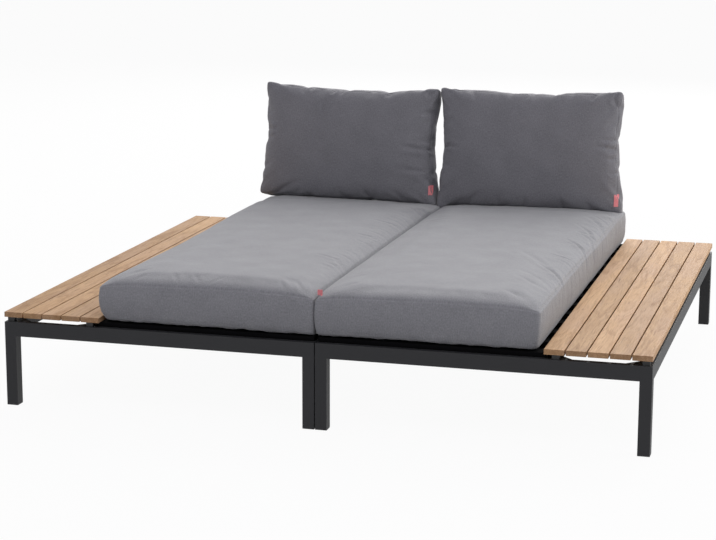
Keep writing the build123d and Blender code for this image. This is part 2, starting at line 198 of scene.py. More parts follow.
# oiled teak: every slat takes its own tone from its place across the table; a span maps the
# first two values to the last two
teakWood = {
    "pale": (0.570, 0.368, 0.202),
    "deep": (0.310, 0.172, 0.082),
    "streak": (0.170, 0.084, 0.037),
    "rose": (0.482, 0.317, 0.208),
    "endGrain": (0.260, 0.140, 0.066),
    "tableEdge": 0.7565,
    "slatPitch": 0.070,
    "sideStep": 17.0,
    "boardShift": 9.0,
    "boardTint": (0.0, 1.0, 0.89, 1.08),
    "bend": {"stretch": (11.0, 2.6, 11.0), "detail": 2.0},
    "bendReach": 0.13,
    "ringTurns": 520.0,
    "ringShare": 0.17,
    "streaks": {"stretch": (85.0, 4.0, 85.0), "detail": 5.0, "roughness": 0.62, "distortion": 0.9},
    "streakSpan": (0.32, 0.68, 0.0, 1.0),
    "toneSpan": (0.0, 1.1, 0.0, 0.54),
    "hue": {"stretch": (12.0, 2.4, 12.0), "detail": 2.0},
    "hueSpan": (0.42, 0.60, 0.0, 0.50),
    "patches": {"stretch": (26.0, 3.6, 26.0), "detail": 4.0, "roughness": 0.6, "distortion": 1.2},
    "patchSpan": (0.50, 0.72, 0.0, 0.80),
    "flecks": {"stretch": (190.0, 11.0, 190.0), "detail": 3.0, "roughness": 0.6, "distortion": 0.5},
    "fleckSpan": (0.58, 0.74, 0.0, 0.62),
    "pores": {"stretch": (620.0, 16.0, 620.0), "detail": 3.0, "roughness": 0.6},
    "poreSpan": (0.58, 0.74, 0.0, 0.50),
    "endNoise": {"scale": 420.0, "detail": 3.0},
    "endShare": (0.0, 0.8),
    "sawnFrom": 0.8,
    "roughness": (0.58, 0.72),
    "poreDepth": 0.6,
    "streakDepth": 0.4,
    "bump": (0.35, 0.0006),
    "gloss": 0.14,
}


def makeTeak(wood):
    material, tree, shader = newMaterial("oiledTeak")
    place = objectPlace(tree)
    across = addNode(tree, "ShaderNodeSeparateXYZ", {0: place}).outputs["X"]
    fromEdge = mathNode(tree, "SUBTRACT", mathNode(tree, "ABSOLUTE", across), wood["tableEdge"])
    step = mathNode(tree, "FLOOR", mathNode(tree, "DIVIDE", fromEdge, wood["slatPitch"]))
    side = mathNode(tree, "MULTIPLY", mathNode(tree, "GREATER_THAN", across), wood["sideStep"])
    board = mathNode(tree, "ADD", step, side)
    chance = addNode(tree, "ShaderNodeTexWhiteNoise", {"W": board}, noise_dimensions="1D")
    shift = {0: chance.outputs["Color"], 3: wood["boardShift"]}
    offset = addNode(tree, "ShaderNodeVectorMath", shift, operation="SCALE").outputs[0]
    moved = addNode(tree, "ShaderNodeVectorMath", {0: place, 1: offset}, operation="ADD").outputs[0]
    names = ("bend", "streaks", "hue", "patches", "flecks", "pores")
    bend, streaks, hue, patches, flecks, pores = (noiseValue(tree, moved, **wood[name]) for name in names)
    ringPlace = mathNode(tree, "ADD", across, mathNode(tree, "MULTIPLY", bend, wood["bendReach"]))
    rings = mathNode(tree, "SINE", mathNode(tree, "MULTIPLY", ringPlace, wood["ringTurns"]))
    streakShare = mapRange(tree, streaks, *wood["streakSpan"])
    tone = mathNode(tree, "ADD", mathNode(tree, "MULTIPLY", rings, wood["ringShare"]), streakShare)
    colour = mixColour(tree, mapRange(tree, tone, *wood["toneSpan"]), wood["pale"], wood["deep"])
    for mark, span, stain in (
        (hue, "hueSpan", "rose"),
        (patches, "patchSpan", "deep"),
        (flecks, "fleckSpan", "streak"),
        (pores, "poreSpan", "streak"),
    ):
        colour = mixColour(tree, mapRange(tree, mark, *wood[span]), colour, wood[stain])
    tint = mapRange(tree, chance.outputs["Value"], *wood["boardTint"])
    tinted = addNode(tree, "ShaderNodeHueSaturation", {"Value": tint, "Color": colour}).outputs[0]
    normal = addNode(tree, "ShaderNodeNewGeometry").outputs["Normal"]
    lengthways = addNode(tree, "ShaderNodeSeparateXYZ", {0: normal}).outputs["Y"]
    sawn = mathNode(tree, "GREATER_THAN", mathNode(tree, "ABSOLUTE", lengthways), wood["sawnFrom"])
    endShare = overNoise(tree, noiseValue(tree, moved, **wood["endNoise"]), *wood["endShare"])
    endColour = mixColour(tree, endShare, tinted, wood["endGrain"])
    height = weighted(tree, (pores, wood["poreDepth"]), (streaks, wood["streakDepth"]))
    values = {
        "Base Color": mixColour(tree, sawn, tinted, endColour),
        "Roughness": overNoise(tree, pores, *wood["roughness"]),
        "Normal": bumpNormal(tree, height, *wood["bump"]),
        "Specular IOR Level": wood["gloss"],
    }
    setInputs(tree, shader, values)
    return material


# woven outdoor cloth: plain weave with a heathered yarn, on the cushion's own UV map in metres
seatCloth = {
    "name": "seatCloth",
    "dark": (0.185, 0.187, 0.196),
    "light": (0.300, 0.302, 0.312),
    "sheen": 0.25,
}
# the back cushions' cloth is darker than the seat's: partly a darker cloth, partly painted shade for the
# back cushions' front faces, which get less light
shadedBackCloth = {
    "name": "shadedBackCloth",
    "dark": (0.140, 0.139, 0.151),
    "light": (0.228, 0.227, 0.241),
    "sheen": 0.2,
}
clothWeave = {
    "yarnPitch": 0.0017,
    "warpYarn": {"stretch": (700.0, 38.0, 1.0), "detail": 2.0},
    "weftYarn": {"stretch": (38.0, 700.0, 1.0), "detail": 2.0},
    "fleck": {"scale": 420.0, "detail": 2.0, "roughness": 0.6},
    "cloud": {"scale": 9.0, "detail": 3.0},
    "slub": {"stretch": (260.0, 150.0, 1.0), "detail": 1.0},
    "yarnShare": 0.62,
    "fleckShare": 0.38,
    "cloudShare": 0.24,
    "slubShare": 0.50,
    "weaveShare": 0.04,
    "weaveDepth": 0.5,
    "yarnDepth": 0.8,
    "bump": (0.4, 0.00035),
    "roughness": 0.88,
    "gloss": 0.25,
    "sheenRoughness": 0.5,
}


def makeCloth(cloth, make):
    material, tree, shader = newMaterial(cloth["name"])
    flat = addNode(tree, "ShaderNodeUVMap", uv_map="weave").outputs[0]
    parts = addNode(tree, "ShaderNodeSeparateXYZ", {0: flat})
    turns = 2 * math.pi / make["yarnPitch"]
    phases = [mathNode(tree, "MULTIPLY", parts.outputs[axis], turns) for axis in "XY"]
    weave = mathNode(tree, "MULTIPLY", *(mathNode(tree, "SINE", phase) for phase in phases))
    names = ("warpYarn", "weftYarn", "fleck", "cloud", "slub")
    warpYarn, weftYarn, fleck, cloud, slub = (noiseValue(tree, flat, **make[name]) for name in names)
    yarn = mathNode(tree, "MULTIPLY", mathNode(tree, "ADD", warpYarn, weftYarn), 0.5)
    tone = weighted(
        tree,
        (yarn, make["yarnShare"]),
        (fleck, make["fleckShare"]),
        (mathNode(tree, "SUBTRACT", cloud, 0.5), make["cloudShare"]),
        (mathNode(tree, "SUBTRACT", slub, 0.5), make["slubShare"]),
        (weave, make["weaveShare"]),
    )
    heather = overNoise(tree, tone, 0.0, 1.0)
    height = weighted(tree, (weave, make["weaveDepth"]), (yarn, make["yarnDepth"]))
    values = {
        "Base Color": mixColour(tree, heather, cloth["dark"], cloth["light"]),
        "Normal": bumpNormal(tree, height, *make["bump"]),
        "Roughness": make["roughness"],
        "Specular IOR Level": make["gloss"],
        "Sheen Weight": cloth["sheen"],
        "Sheen Roughness": make["sheenRoughness"],
    }
    setInputs(tree, shader, values)
    return material


# plain coral woven label tab
tabCloth = {
    "dark": (0.62, 0.165, 0.175),
    "light": (0.86, 0.30, 0.32),
    "ribs": {"stretch": (300.0, 300.0, 2600.0), "detail": 2.0},
    "bump": (0.4, 0.0002),
    "roughness": 0.75,
}


def makeTabCloth(cloth):
    material, tree, shader = newMaterial("tabCloth")
    ribs = noiseValue(tree, objectPlace(tree), **cloth["ribs"])
    values = {
        "Base Color": mixColour(tree, overNoise(tree, ribs, 0.0, 1.0), cloth["dark"], cloth["light"]),
        "Normal": bumpNormal(tree, ribs, *cloth["bump"]),
        "Roughness": cloth["roughness"],
    }
    setInputs(tree, shader, values)
    return material


# black moulded plastic of the glides, spacers, liners and caps
mouldedPlastic = {
    "dark": (0.010, 0.010, 0.011),
    "light": (0.018, 0.018, 0.019),
    "grain": {"scale": 900.0, "detail": 2.0},
    "roughness": (0.45, 0.6),
    "bump": (0.3, 0.00012),
}


def makePlastic(plastic):
    material, tree, shader = newMaterial("mouldedPlastic")
    grain = noiseValue(tree, objectPlace(tree), **plastic["grain"])
    values = {
        "Base Color": mixColour(tree, grain, plastic["dark"], plastic["light"]),
        "Roughness": overNoise(tree, grain, *plastic["roughness"]),
        "Normal": bumpNormal(tree, grain, *plastic["bump"]),
    }
    setInputs(tree, shader, values)
    return material


# plated steel of the bolts and screws
platedSteel = {
    "dark": (0.36, 0.36, 0.37),
    "light": (0.56, 0.56, 0.57),
    "brushed": {"stretch": (250.0, 250.0, 2500.0), "detail": 3.0},
    "roughness": (0.26, 0.42),
}


def makePlatedSteel(steel):
    material, tree, shader = newMaterial("platedSteel")
    brushed = noiseValue(tree, objectPlace(tree), **steel["brushed"])
    values = {
        "Base Color": mixColour(tree, brushed, steel["dark"], steel["light"]),
        "Roughness": overNoise(tree, brushed, *steel["roughness"]),
        "Metallic": 1.0,
    }
    setInputs(tree, shader, values)
    return material


finishes = {
    "frame_coat": makePowderCoat(powderCoat, coatGrain),
    "teak": makeTeak(teakWood),
    "seat_fabric": makeCloth(seatCloth, clothWeave),
    "back_fabric": makeCloth(shadedBackCloth, clothWeave),
    "black_plastic": makePlastic(mouldedPlastic),
    "plated_steel": makePlatedSteel(platedSteel),
}
tabFinish = makeTabCloth(tabCloth)
# painted shade: the deck slats and table rails take the near-black coat in place of the frame's powder coat
deckShadeFinish = makePowderCoat(deckShadeCoat, coatGrain)
paintedShadeNodes = ("deck_slats", "table_rail")
slotOfNode = {row["node"]: row["material_slot"] for row in frame["record"]["subparts"]}
for nodeName, node in frame["nodes"].items():
    node.data.materials.clear()
    slotFinish = finishes[slotOfNode[nodeName]]
    node.data.materials.append(deckShadeFinish if nodeName.endswith(paintedShadeNodes) else slotFinish)
print("finishes given to the frame")


# floor, world and soft lamps
plainWhite = (1, 1, 1, 1)
studio = {
    "floorSize": 60.0,
    "floorColour": (0.66, 0.66, 0.66, 1),
    "floorRoughness": 0.9,
    "floorGloss": 0.1,
    "shownShare": 0.95,
    "worldLight": 0.41,
    "worldTint": (0.98, 0.965, 1.05, 1),
    "aim": (0, 0, 0.3),
    "lamps": {
        "top": {"place": (0.3, 7.0, 4.7), "size": 7.2, "power": 710.0, "tint": (1.0, 0.985, 0.965)},
        "right": {"place": (4.4, 0.2, 1.9), "size": 2.4, "power": 72.0, "tint": (1, 1, 1)},
        "left": {"place": (-4.6, 0.2, 2.2), "size": 2.4, "power": 18.0, "tint": (1, 1, 1)},
        "front": {"place": (0.4, -4.2, 5.4), "size": 2.4, "power": 75.0, "tint": (0.98, 0.965, 1.05)},
    },
}


def addSoftLamp(name, lamp, target):
    data = bpy.data.lights.new(name, "AREA")
    data.color = lamp["tint"]
    data.shape = "SQUARE"
    data.size = lamp["size"]
    data.energy = lamp["power"]
    holder = bpy.data.objects.new(name, data)
    bpy.context.scene.collection.objects.link(holder)
    aim = (Vector(target) - Vector(lamp["place"])).to_track_quat("-Z", "Y")
    holder.matrix_world = Matrix.Translation(lamp["place"]) @ aim.to_matrix().to_4x4()


def seenAsBackground(tree):
    # 1 for rays from the camera, off gloss and through clear things, which see the pale backdrop
    rays = addNode(tree, "ShaderNodeLightPath").outputs
    seen = mathNode(tree, "MAXIMUM", rays["Is Camera Ray"], rays["Is Glossy Ray"])
    return mathNode(tree, "MAXIMUM", seen, rays["Is Transmission Ray"])


def layFloor(plan):
    bpy.ops.object.select_all(action="DESELECT")
    bpy.ops.mesh.primitive_plane_add(size=plan["floorSize"], location=(0, 0, 0))
    floor = bpy.context.object
    floor.name = "floor"
    material, tree, shader = newMaterial("paleFloor")
    values = {
        "Base Color": plan["floorColour"],
        "Roughness": plan["floorRoughness"],
        "Specular IOR Level": plan["floorGloss"],
    }
    setInputs(tree, shader, values)
    glow = addNode(tree, "ShaderNodeEmission", {"Color": plainWhite, "Strength": 1.0}).outputs[0]
    share = mathNode(tree, "MULTIPLY", seenAsBackground(tree), plan["shownShare"])
    mixed = addNode(tree, "ShaderNodeMixShader", {0: share, 1: shader.outputs[0], 2: glow})
    output = next(node for node in tree.nodes if node.type == "OUTPUT_MATERIAL")
    tree.links.new(mixed.outputs[0], output.inputs["Surface"])
    floor.data.materials.append(material)


def makeWorld(plan):
    world = bpy.data.worlds.new("paleStudio")
    bpy.context.scene.world = world
    world.use_nodes = True
    tree = world.node_tree
    tree.nodes.clear()
    light = {"Color": plan["worldTint"], "Strength": plan["worldLight"]}
    lit = addNode(tree, "ShaderNodeBackground", light).outputs[0]
    shown = addNode(tree, "ShaderNodeBackground", {"Color": plainWhite, "Strength": 1.0}).outputs[0]
    mixed = addNode(tree, "ShaderNodeMixShader", {0: seenAsBackground(tree), 1: lit, 2: shown})
    addNode(tree, "ShaderNodeOutputWorld", {"Surface": mixed.outputs[0]})


layFloor(studio)
makeWorld(studio)
for lampName, lampPlan in studio["lamps"].items():
    addSoftLamp(lampName + "Lamp", lampPlan, studio["aim"])
print("studio built")


# padded cushions: a sewn box of six panels, with its seams along the edges
panelShift = 0.31  # each panel's weave starts at another place
edgeShare = 0.0001  # a share of the box nearer to its side than this lies on it
leastLength = 1e-9
leastWeight = 0.001
noiseStep = (3.1, 1.7, 2.3)


def evenSteps(low, high, step):
    count = max(2, round((high - low) / step))
    return list(np.linspace(low, high, count + 1))


def panelRows(low, high, step, edgeRows):
    # finer rows beside each seam keep the sewn groove narrow
    first = [low + row for row in edgeRows]
    last = [high - row for row in reversed(edgeRows)]
    return first + evenSteps(first[-1], last[0], step)[1:-1] + last


def latticeBox(name, xs, ys, zs):
    counts = (len(xs), len(ys), len(zs))
    inside = np.zeros(counts, bool)
    inside[1:-1, 1:-1, 1:-1] = True
    index = np.full(counts, -1, int)
    cells = np.argwhere(~inside)
    index[~inside] = np.arange(len(cells))
    flat = np.array([(xs[i], ys[j], zs[k]) for i, j, k in cells], float)
    panels = (
        (index[:, :, -1], False, xs, ys),
        (index[:, :, 0], True, xs, ys),
        (index[:, 0, :], False, xs, zs),
        (index[:, -1, :], True, xs, zs),
        (index[0, :, :], True, ys, zs),
        (index[-1, :, :], False, ys, zs),
    )
    faces, maps = [], []
    for number, (grid, flipped, us, vs) in enumerate(panels):
        shift = panelShift * number
        for a in range(grid.shape[0] - 1):
            for b in range(grid.shape[1] - 1):
                ring = [(a, b), (a + 1, b), (a + 1, b + 1), (a, b + 1)]
                if flipped:
                    ring = ring[::-1]
                faces.append([int(grid[c]) for c in ring])
                maps.extend((us[c[0]] + shift, vs[c[1]] + shift) for c in ring)
    mesh = bpy.data.meshes.new(name)
    mesh.from_pydata(flat.tolist(), [], faces)
    layer = mesh.uv_layers.new(name="weave")
    layer.data.foreach_set("uv", np.array(maps, np.float32).ravel())
    mesh.update()
    piece = bpy.data.objects.new(name, mesh)
    bpy.context.scene.collection.objects.link(piece)
    return piece, flat


def boxSides(share):
    # which points lie on the low and on the high side of the box
    return share < edgeShare, share > 1 - edgeShare


def smoothStep(value):
    value = np.clip(value, 0.0, 1.0)
    return value * value * (3 - 2 * value)


def bell(value, reach):
    return np.exp(-(value / reach) ** 2)


def readPoints(mesh, what="co"):
    points = np.zeros(len(mesh.vertices) * 3)
    mesh.vertices.foreach_get(what, points)
    return points.reshape(-1, 3)


def writePoints(mesh, points):
    mesh.vertices.foreach_set("co", np.asarray(points, np.float32).ravel())
    mesh.update()


def roundPlan(flat, low, high, radius):
    # the upright corners, turned to a small radius
    core = np.clip(flat[:, :2], low[:2] + radius, high[:2] - radius)
    away = (flat[:, :2] - core) / radius
    length = np.maximum(np.linalg.norm(away, axis=1), leastLength)
    return core + away * radius * (np.abs(away).max(axis=1) / length)[:, None]


def edgeRise(flat, low, high, reaches, softness, fullness):
    # 0 at a panel's seams and 1 on its flat; both numbers at 2 make the roll an ellipse, more
    # softness eases it into the flat; reaches from the left, right, near and far seams
    rise = np.ones(len(flat))
    gaps = (flat[:, 0] - low[0], high[0] - flat[:, 0], flat[:, 1] - low[1], high[1] - flat[:, 1])
    for gap, reach in zip(gaps, reaches):
        share = np.clip(gap / reach, 0, 1)
        rise *= (1 - (1 - share) ** softness) ** (1 / fullness)
    return rise


def betweenCorners(u, v, corners):
    # corners as ((near left, near right), (far left, far right))
    near = corners[0][0] * (1 - u) + corners[0][1] * u
    far = corners[1][0] * (1 - u) + corners[1][1] * u
    return near * (1 - v) + far * v


def noiseField(points, size, seed):
    shift = Vector([seed * step for step in noiseStep])
    return np.array([noise.noise(Vector(p) / size + shift) for p in points])


def waveField(points, wave, seed):
    # slow waves in a panel; flat draws them out along an axis
    return noiseField(points * wave["flat"], wave["size"], seed + wave["seed"]) * wave["height"]


def setGroup(piece, name, weights):
    group = piece.vertex_groups.new(name=name)
    for index, weight in enumerate(weights):
        if weight > leastWeight:
            group.add([index], float(weight), "REPLACE")


def readGroup(piece, name):
    group = piece.vertex_groups[name].index
    weights = np.zeros(len(piece.data.vertices))
    for vertex in piece.data.vertices:
        for entry in vertex.groups:
            if entry.group == group:
                weights[vertex.index] = entry.weight
    return weights


stuffing = {"mass": 0.25, "shear": 5}


def stuff(piece, plan):
    # cloth simulation with air pressure: held at the seams, with loose cloth beside them to pucker
    start = readPoints(piece.data)
    modifier = piece.modifiers.new("stuffing", "CLOTH")
    cloth = modifier.settings
    cloth.quality = plan["quality"]
    cloth.mass = stuffing["mass"]
    cloth.tension_stiffness = plan["tension"]
    cloth.compression_stiffness = plan["tension"]
    cloth.shear_stiffness = stuffing["shear"]
    cloth.bending_stiffness = plan["bending"]
    cloth.use_pressure = True
    cloth.uniform_pressure_force = plan["pressure"]
    cloth.effector_weights.gravity = 0
    cloth.shrink_min = -plan["looseCloth"]
    cloth.shrink_max = -plan["tautCloth"]
    cloth.vertex_group_shrink = "taut"
    cloth.vertex_group_mass = "held"
    modifier.collision_settings.use_collision = False
    modifier.point_cache.frame_start = 1
    modifier.point_cache.frame_end = plan["frames"]
    for step in range(1, plan["frames"] + 1):
        bpy.context.scene.frame_set(step)
    moved = piece.evaluated_get(bpy.context.evaluated_depsgraph_get())
    points = readPoints(moved.data)
    piece.modifiers.remove(modifier)
    bpy.context.scene.frame_set(1)
    change = points - start
    length = np.maximum(np.linalg.norm(change, axis=1), leastLength)
    limit = plan["cap"]
    writePoints(piece.data, start + change * (np.tanh(length / limit) * limit / length)[:, None])
    print(piece.name, "stuffed, cloth moved at most", round(float(length.max()) * 1000, 1), "mm")


def subdivideOnce(piece):
    bpy.ops.object.select_all(action="DESELECT")
    piece.select_set(True)
    bpy.context.view_layer.objects.active = piece
    modifier = piece.modifiers.new("finer", "SUBSURF")
    modifier.levels = 1
    modifier.render_levels = 1
    bpy.ops.object.modifier_apply(modifier="finer")


# a crease: a groove with a low ridge beside it, fading out at both ends
crease = {
    "ridge": 0.55,
    "ridgeAt": 1.9,
    "ridgeWidth": 1.1,
    "endShare": 0.05,
    "fade": 0.8,
}


def pressFold(points, normals, reached, path, width, depth):
    # a soft crease across one panel, along points in the panel's own plane, deepest in its middle
    path = [np.array(point, float) for point in path]
    total = sum(np.linalg.norm(b - a) for a, b in zip(path, path[1:]))
    push = np.zeros(len(points))
    run = 0.0
    for a, b in zip(path, path[1:]):
        span = b - a
        length = np.linalg.norm(span)
        share = np.clip(((points[:, :2] - a) @ span) / (length * length), 0, 1)
        gap = np.linalg.norm(points[:, :2] - (a + share[:, None] * span), axis=1)
        along = (run + share * length) / total
        inward = np.clip(along * (1 - 2 * crease["endShare"]) + crease["endShare"], 0, 1)
        ridge = bell(gap - crease["ridgeAt"] * width, crease["ridgeWidth"] * width)
        groove = (bell(gap, width) - crease["ridge"] * ridge) * np.sin(np.pi * inward) ** crease["fade"]
        push = np.where(np.abs(groove) > np.abs(push), groove, push)
        run += length
    return points - normals * (push * reached * depth)[:, None]


def softenOuterSeam(piece, outer, plan):
    # beside the table the top rolls over into the side, with no sharp edge at the seam
    points = readPoints(piece.data)
    onSeam = readGroup(piece, "seam") > plan["upperSeamFrom"]
    line = points[onSeam & (points[:, 0] * outer > plan["outerFrom"])]
    line = line[np.argsort(line[:, 1])]
    seamX, seamZ = (np.interp(points[:, 1], line[:, 1], line[:, axis]) for axis in (0, 2))
    share = bell(np.hypot(points[:, 0] - seamX, points[:, 2] - seamZ), plan["softReach"])
    share *= smoothStep((points[:, 1] - plan["front"]) / plan["softFrom"])
    share *= smoothStep((plan["rear"] - points[:, 1]) / plan["softFrom"])
    ends = np.empty(len(piece.data.edges) * 2, dtype=np.int32)
    piece.data.edges.foreach_get("vertices", ends)
    first, second = ends.reshape(-1, 2).T
    count = np.bincount(ends, minlength=len(points))[:, None]
    for turn in range(plan["softTurns"]):
        total = np.zeros_like(points)
        np.add.at(total, first, points[second])
        np.add.at(total, second, points[first])
        points = points + (total / count - points) * share[:, None]
    writePoints(piece.data, points)


# how uneven the small creases beside a seam are
puckerSteps = {"place": 0.618, "depth": 0.382, "uneven": 0.6, "curve": 0.6}


def seamPuckers(plan):
    # small creases that run in from one seam, unevenly long and deep
    folds = []
    shortest, longest = plan["reach"]
    shallow, deep = plan["depth"]
    pitch = (plan["last"] - plan["first"]) / plan["count"]
    for number in range(plan["count"]):
        chance = number * puckerSteps["place"] % 1
        place = plan["first"] + pitch * (number + puckerSteps["uneven"] * chance)
        reach = shortest + (longest - shortest) * chance
        depth = deep + (shallow - deep) * (number * puckerSteps["depth"] % 1)
        path = [
            (plan["seam"] + reach * share, place + plan["slant"] * share ** puckerSteps["curve"])
            for share in (0, 0.5, 1)
        ]
        folds.append((plan["width"], depth, *path))
    return folds


def nudge(points, centre, reach, move):
    # a pinch or an ear: the cloth near one place is drawn along
    gap = np.linalg.norm(points - np.array(centre), axis=1)
    return points + bell(gap, reach)[:, None] * np.array(move)


def finishCushion(piece, sideName, kind):
    piece.vertex_groups.clear()
    for polygon in piece.data.polygons:
        polygon.use_smooth = True
    piece.data.materials.append(finishes[kind + "_fabric"])
    node = sideName + "_" + kind + "_cushion"
    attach(piece, node)
    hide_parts(node)
    print(piece.name, "made with", len(piece.data.polygons), "faces")


# seat cushions: the front and side seams stand below a full roll, the lower seam above the deck
seatPlan = {
    "fill": 0.85,
    "deck": 0.3096,
    "lowerSeam": 0.3330,
    "upperSeam": 0.4460,
    "front": -0.9930,
    "rear": 0.8925,
    "step": 0.0125,
    "edgeRows": (0.0, 0.004, 0.011),
    "cornerRadius": 0.011,
    # the top: its crown, the reach of the roll from each seam and its two kinds of waves
    "crown": 0.0290,
    "outerReach": 0.120,
    "innerReach": 0.130,
    "frontReach": 0.112,
    "rearReach": 0.090,
    "softness": 3.0,
    "fullness": 2.0,
    "slowReach": 2.6,
    "slowShare": 0.16,
    "pressedFrom": 0.62,
    "pressedOver": 0.13,
    "pressedBy": 0.0185,
    "smallWave": {"size": 0.10, "height": 0.0016, "flat": (1, 1, 1), "seed": 0},
    "largeWave": {"size": 0.33, "height": 0.0032, "flat": (1, 1, 1), "seed": 5},
    # the upper seam
    "frontArch": 0.006,
    "innerArch": 0.003,
    "outerArch": -0.009,
    "cornerDrop": 0.006,
    "cornerDropReach": 0.05,
    # the lower seam and the roll under it
    "outerCornerLift": 0.009,
    "outerCornerReach": 0.09,
    "innerSeamDrop": 0.018,
    "innerDropReach": 0.045,
    "edgePower": 10,
    "frontUnderReach": 0.055,
    "rearUnderReach": 0.018,
    "innerUnderReach": 0.004,
    "outerUnderReach": 0.018,
    "underRoll": 2.0,
    # the sides
    "belly": 0.0045,
    "frontBelly": 0.010,
    "sideWave": {"size": 0.17, "height": 0.0022, "flat": (1, 1, 0.3), "seed": 9},
    "sidePower": 12,
    "endPower": 40,
    "hemDrawnIn": 0.0045,
    "hemRearPower": 6,
    "hemWave": {"size": 0.030, "height": 0.0040, "flat": (1, 1, 0.2), "seed": 13},
    "hemHeight": 0.02,
    "hemFade": 0.10,
    # the outer upper seam, rubbed soft
    "upperSeamFrom": 0.9,
    "outerFrom": 0.70,
    "softReach": 0.022,
    "softFrom": 0.060,
    "softTurns": 14,
    "tableGap": 0.7556,
    "tableTop": 0.3300,
    # sewing and stuffing
    "seamDepth": 0.0024,
    "lowerSeamShare": 0.35,
    "lowerSlack": 0.02,
    "restsFrom": 0.9,
    "foldFacing": (-0.1, 0.3),
    "quality": 4,
    "tension": 14,
    "bending": 0.02,
    "pressure": 1.2,
    "looseCloth": 0.012,
    "tautCloth": 0.000,
    "looseReach": 0.045,
    "frames": 16,
    "cap": 0.004,
}
# a fold: its width, its depth and the points it runs through; a dent: its place, depth and reach;
# a bulge of the outer side: its place, height and reach
rightSeat = {
    "name": "rightSeatCushion",
    "side": "right",
    "acrossPlaces": ((-0.0015, 0.7410), (-0.0010, 0.7480)),
    "innerLimit": -0.0025,
    "seamHeights": ((0.443, 0.448), (0.431, 0.445)),
    "seed": 3.0,
    "bulges": [(-0.20, -0.008, 0.45)],
    "dents": [(0.700, 0.860, 0.011, 0.075)],
    "puckers": {
        "first": -0.70,
        "last": 0.66,
        "count": 13,
        "seam": 0.742,
        "reach": (-0.050, -0.100),
        "slant": 0.080,
        "width": 0.0072,
        "depth": (0.0008, 0.0016),
    },
    "folds": [
        (0.011, 0.0020, (0.518, -0.172), (0.666, -0.423), (0.738, -0.549)),
        (0.0062, 0.0042, (0.617, -0.371), (0.696, -0.481), (0.740, -0.565)),
        (0.0062, 0.0026, (0.616, -0.179), (0.684, -0.213), (0.732, -0.240)),
        (0.0062, 0.0042, (0.644, 0.107), (0.690, 0.044), (0.740, -0.071)),
        (0.0065, 0.0034, (0.624, 0.401), (0.692, 0.298), (0.742, 0.140)),
        (0.010, 0.0016, (0.584, -0.514), (0.669, -0.617), (0.738, -0.721)),
        (0.009, 0.0014, (0.589, -0.609), (0.658, -0.698), (0.719, -0.757)),
        (0.009, 0.0014, (0.028, 0.309), (0.090, 0.370), (0.137, 0.363)),
        (0.0062, 0.0032, (0.680, 0.235), (0.720, 0.172), (0.742, 0.067)),
        (0.009, 0.0022, (0.640, 0.560), (0.700, 0.470), (0.742, 0.360)),
    ],
}
leftSeat = {
    "name": "leftSeatCushion",
    "side": "left",
    "acrossPlaces": ((-0.7565, -0.0065), (-0.7560, -0.0052)),
    "innerLimit": -0.0045,
    "seamHeights": ((0.440, 0.444), (0.4365, 0.431)),
    "seed": 11.0,
    "bulges": [(0.330, 0.013, 0.26)],
    "dents": [(-0.130, 0.860, 0.007, 0.090)],
    "puckers": {
        "first": -0.80,
        "last": 0.66,
        "count": 16,
        "seam": -0.010,
        "reach": (-0.045, -0.105),
        "slant": 0.085,
        "width": 0.0072,
        "depth": (0.0010, 0.0019),
    },
    "folds": [
        (0.008, 0.0022, (-0.159, -0.459), (-0.074, -0.487), (-0.012, -0.600)),
        (0.008, 0.0018, (-0.099, -0.546), (-0.050, -0.580), (-0.014, -0.640)),
        (0.008, 0.0022, (-0.140, -0.026), (-0.073, -0.026), (-0.012, -0.117)),
        (0.007, 0.0016, (-0.101, -0.070), (-0.043, -0.090), (-0.012, -0.180)),
        (0.009, 0.0020, (-0.155, 0.277), (-0.073, 0.258), (-0.012, 0.199)),
        (0.0065, 0.0016, (-0.640, -0.975), (-0.600, -0.915)),
        (0.0065, 0.0020, (-0.520, -0.905), (-0.480, -0.978)),
        (0.0065, 0.0018, (-0.450, -0.900), (-0.405, -0.975)),
        (0.0060, 0.0014, (-0.370, -0.975), (-0.340, -0.920)),
        (0.0060, 0.0018, (-0.150, -0.900), (-0.110, -0.978)),
        (0.0060, 0.0022, (-0.095, -0.890), (-0.050, -0.970)),
        (0.0060, 0.0018, (-0.050, -0.870), (-0.018, -0.950)),
    ],
}


def seamHeights(cushion, plan, u, v, inner, size):
    heights = betweenCorners(u, v, cushion["seamHeights"])
    heights += plan["frontArch"] * 4 * u * (1 - u) * (1 - v)
    heights += (plan["innerArch"] * inner + plan["outerArch"] * (1 - inner)) * 4 * v * (1 - v)
    cornerGap = np.hypot(np.minimum(u, 1 - u) * size[0], np.minimum(v, 1 - v) * size[1])
    return heights - plan["cornerDrop"] * bell(cornerGap, plan["cornerDropReach"])


def lowSeamHeights(plan, inner, fromFront, size):
    drop = inner ** plan["edgePower"] * smoothStep(fromFront / plan["innerDropReach"])
    lift = bell(np.hypot(inner * size[0], fromFront), plan["outerCornerReach"])
    return plan["lowerSeam"] - plan["innerSeamDrop"] * drop + plan["outerCornerLift"] * lift


def topHeights(cushion, plan, flat, low, high, sideReaches):
    reaches = sideReaches + [plan["frontReach"], plan["rearReach"]]
    wideReaches = [reach * plan["slowReach"] for reach in reaches]
    bend = (plan["softness"], plan["fullness"])
    rise = edgeRise(flat, low, high, reaches, *bend) * (1 - plan["slowShare"])
    rise += edgeRise(flat, low, high, wideReaches, *bend) * plan["slowShare"]
    pressed = smoothStep((flat[:, 1] - plan["pressedFrom"]) / plan["pressedOver"])
    crown = plan["crown"] - plan["pressedBy"] * pressed
    seed = cushion["seed"]
    crown += waveField(flat, plan["smallWave"], seed) + waveField(flat, plan["largeWave"], seed)
    for across, along, depth, reach in cushion["dents"]:
        # where a lower corner of the back cushion stands
        crown -= depth * bell(np.hypot(flat[:, 0] - across, flat[:, 1] - along), reach)
    return rise * crown


